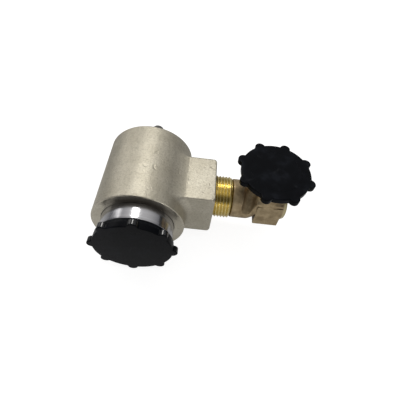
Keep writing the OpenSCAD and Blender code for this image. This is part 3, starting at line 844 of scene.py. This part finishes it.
knobLook = {
    "lobes": 8, "turn": math.radians(-2.4), "disc": 20.8,
    "lobeAt": 20.6, "lobeRadius": 2.65, "lobeThick": 3.4, "fade": 0.5,
    "face": -knobLow.y / mm, "back": -knobHigh.y / mm, "dome": 0.05, "rim": 0.35, "draft": 0.05,
    "discThick": (knobHigh.y - knobLow.y) / mm,
    "capRadius": 16.0, "capDepth": 1.2,
    "hollow": 17.6, "hub": 8.0, "hubBore": 5.03, "web": -knobHigh.y / mm + 2.4,
}
wheelLook = {
    "lobes": 8, "turn": math.radians(-19.5), "disc": 19.3,
    "lobeAt": 19.1, "lobeRadius": 2.84, "lobeThick": 3.38, "fade": 0.5,
    "face": wheelHigh.z / mm, "back": wheelLow.z / mm, "dome": 0.05, "rim": 0.4, "draft": 0.1,
    "discThick": 3.4,
    "capRadius": 14.0, "capDepth": 1.2,
    "hollow": 16.6, "hub": 7.0, "hubBore": 3.2, "web": wheelHigh.z / mm - 2.6,
}


# z of the knob's own frame points out of its face
def toFront(points):
    return np.stack([points[:, 0], -points[:, 2], points[:, 1]], 1)


def toTop(points):
    return points + np.array([spindleAt, 0, 0])


for name, look, turn, body in (("knob", knobLook, toFront, "knob"), ("wheel", wheelLook, toTop, "handwheel")):
    points, faces = ringSkin(knobRings(look), closedPath=True)
    addPiece(name + "Shell", turn(points), flipped(faces), body,
             finishes["black_plastic"], [body])
    points, faces = ringSkin(capRings(look), capped=True)
    addPiece(name + "Cap", turn(points), flipped(faces), body,
             finishes["black_plastic"], [name + "_cap"])
print("shells made")

# camera where the regulator was seen from
cameraLook = {
    "place": (24.9, -122.8, 160.7),      # millimetres from the crossing of the two axes
    "azimuth": 6.123,
    "elevation": 49.673,
    "roll": -11.24,
    "lens": 30.65,
    "shift": (-0.033, -0.0525),
}


def addCamera():
    look = cameraLook
    azimuth, elevation, roll = (math.radians(look[k]) for k in ("azimuth", "elevation", "roll"))
    out = math.cos(elevation)
    forward = Vector((math.sin(azimuth) * out, math.cos(azimuth) * out, -math.sin(elevation)))
    level = forward.cross(Vector((0, 0, 1))).normalized()
    up = level.cross(forward)
    right = level * math.cos(roll) - up * math.sin(roll)
    upright = level * math.sin(roll) + up * math.cos(roll)
    data = bpy.data.cameras.new("camera")
    data.lens, data.sensor_width = look["lens"], 36
    data.shift_x, data.shift_y = look["shift"]
    data.clip_start = 0.01
    camera = bpy.data.objects.new("camera", data)
    scene.collection.objects.link(camera)
    pose = Matrix((right, upright, -forward)).transposed().to_4x4()
    pose.translation = inFrame([look["place"]])[0]
    camera.matrix_world = pose
    scene.camera = camera


addCamera()

# studio: a white floor, a soft sky and four lamps
stageLook = {
    "size": 6.0, "floorColour": (0.38, 0.38, 0.38), "floorLift": 0.88,
    "inReflections": (0.44, 0.14),      # share of the lift that reflections see, in front and behind
}


def addFloor():
    half = stageLook["size"] / 2
    mesh = bpy.data.meshes.new("floor")
    z = cadBounds[0][2] - 0.0002
    corners = [(-half, -half, z), (half, -half, z), (half, half, z), (-half, half, z)]
    mesh.from_pydata(corners, [], [(0, 1, 2, 3)])
    floor = bpy.data.objects.new("floor", mesh)
    scene.collection.objects.link(floor)
    material, tree, shader = newMaterial("floorWhite", Roughness=0.8, Specular_IOR_Level=0.1)
    shader.inputs["Base Color"].default_value = (*stageLook["floorColour"], 1)
    path = addNode(tree, "ShaderNodeLightPath").outputs
    front, behind = stageLook["inReflections"]
    depth = addNode(tree, "ShaderNodeSeparateXYZ")
    tree.links.new(addNode(tree, "ShaderNodeTexCoord").outputs["Object"], depth.inputs[0])
    mirrored = mathNode(tree, "MULTIPLY", path["Is Glossy Ray"],
                        rangeNode(tree, depth.outputs[1], -0.04, 0.08, front, behind))
    seen = mathNode(tree, "MAXIMUM", path["Is Camera Ray"], mirrored)
    seen = mathNode(tree, "MAXIMUM", seen, path["Is Transmission Ray"])
    shader.inputs["Emission Color"].default_value = (1, 1, 1, 1)
    tree.links.new(mathNode(tree, "MULTIPLY", seen, stageLook["floorLift"]),
                   shader.inputs["Emission Strength"])
    mesh.materials.append(material)


addFloor()

# the sky is bright behind and above, and dark over the viewer
skyLook = {
    "brightTowards": (0.06, 0.30, 0.95), "bright": (0.72, 0.71, 0.69), "mid": (0.22, 0.22, 0.23),
    "darkTowards": (0.05, -0.90, 0.43), "dark": (0.02, 0.02, 0.022),
}


def addSky():
    look = skyLook
    world = bpy.data.worlds.new("sky")
    scene.world = world
    world.use_nodes = True
    tree = world.node_tree
    background = tree.nodes["Background"]
    direction = addNode(tree, "ShaderNodeTexCoord").outputs["Generated"]

    def towards(way, low, high):
        facing = addNode(tree, "ShaderNodeVectorMath", operation="DOT_PRODUCT")
        tree.links.new(direction, facing.inputs[0])
        facing.inputs[1].default_value = Vector(way).normalized()
        return rangeNode(tree, facing.outputs["Value"], low, high)

    colour = mixColour(tree, towards(look["brightTowards"], 0.45, 0.92), look["mid"], look["bright"])
    colour = mixColour(tree, towards(look["darkTowards"], 0.78, 0.95), colour, look["dark"])
    path = addNode(tree, "ShaderNodeLightPath").outputs["Is Camera Ray"]
    tree.links.new(mixColour(tree, path, colour, (1.0, 1.0, 1.0)), background.inputs["Color"])
    background.inputs["Strength"].default_value = 1.0


addSky()

lampAim = Vector((-0.045, 0.0, 0.0))
lampLook = {
    "key": {"place": (-0.15, 0.42, 0.75), "size": (0.22, 0.16), "power": 1.55, "colour": (1.0, 0.985, 0.955)},
    "side": {"place": (-0.68, 0.54, 0.34), "size": (0.4, 0.4), "power": 0.75, "colour": (1.0, 0.98, 0.95)},
    "top": {"place": (0.04, -0.21, 0.82), "size": (0.30, 0.05), "power": 0.22, "colour": (1.0, 0.99, 0.96)},
    "front": {"place": (0.15, -0.75, 0.05), "size": (0.5, 0.2), "power": 0.7, "colour": (1.0, 0.99, 1.0)},
}


def addLamps():
    for name, look in lampLook.items():
        data = bpy.data.lights.new(name, "AREA")
        data.shape = "RECTANGLE"
        data.size, data.size_y = look["size"]
        data.energy, data.color = look["power"], look["colour"]
        lamp = bpy.data.objects.new(name, data)
        scene.collection.objects.link(lamp)
        lamp.location = look["place"]
        lamp.rotation_euler = (lampAim - lamp.location).to_track_quat("-Z", "Y").to_euler()


addLamps()
scene.view_settings.view_transform = "Standard"
print("studio ready")
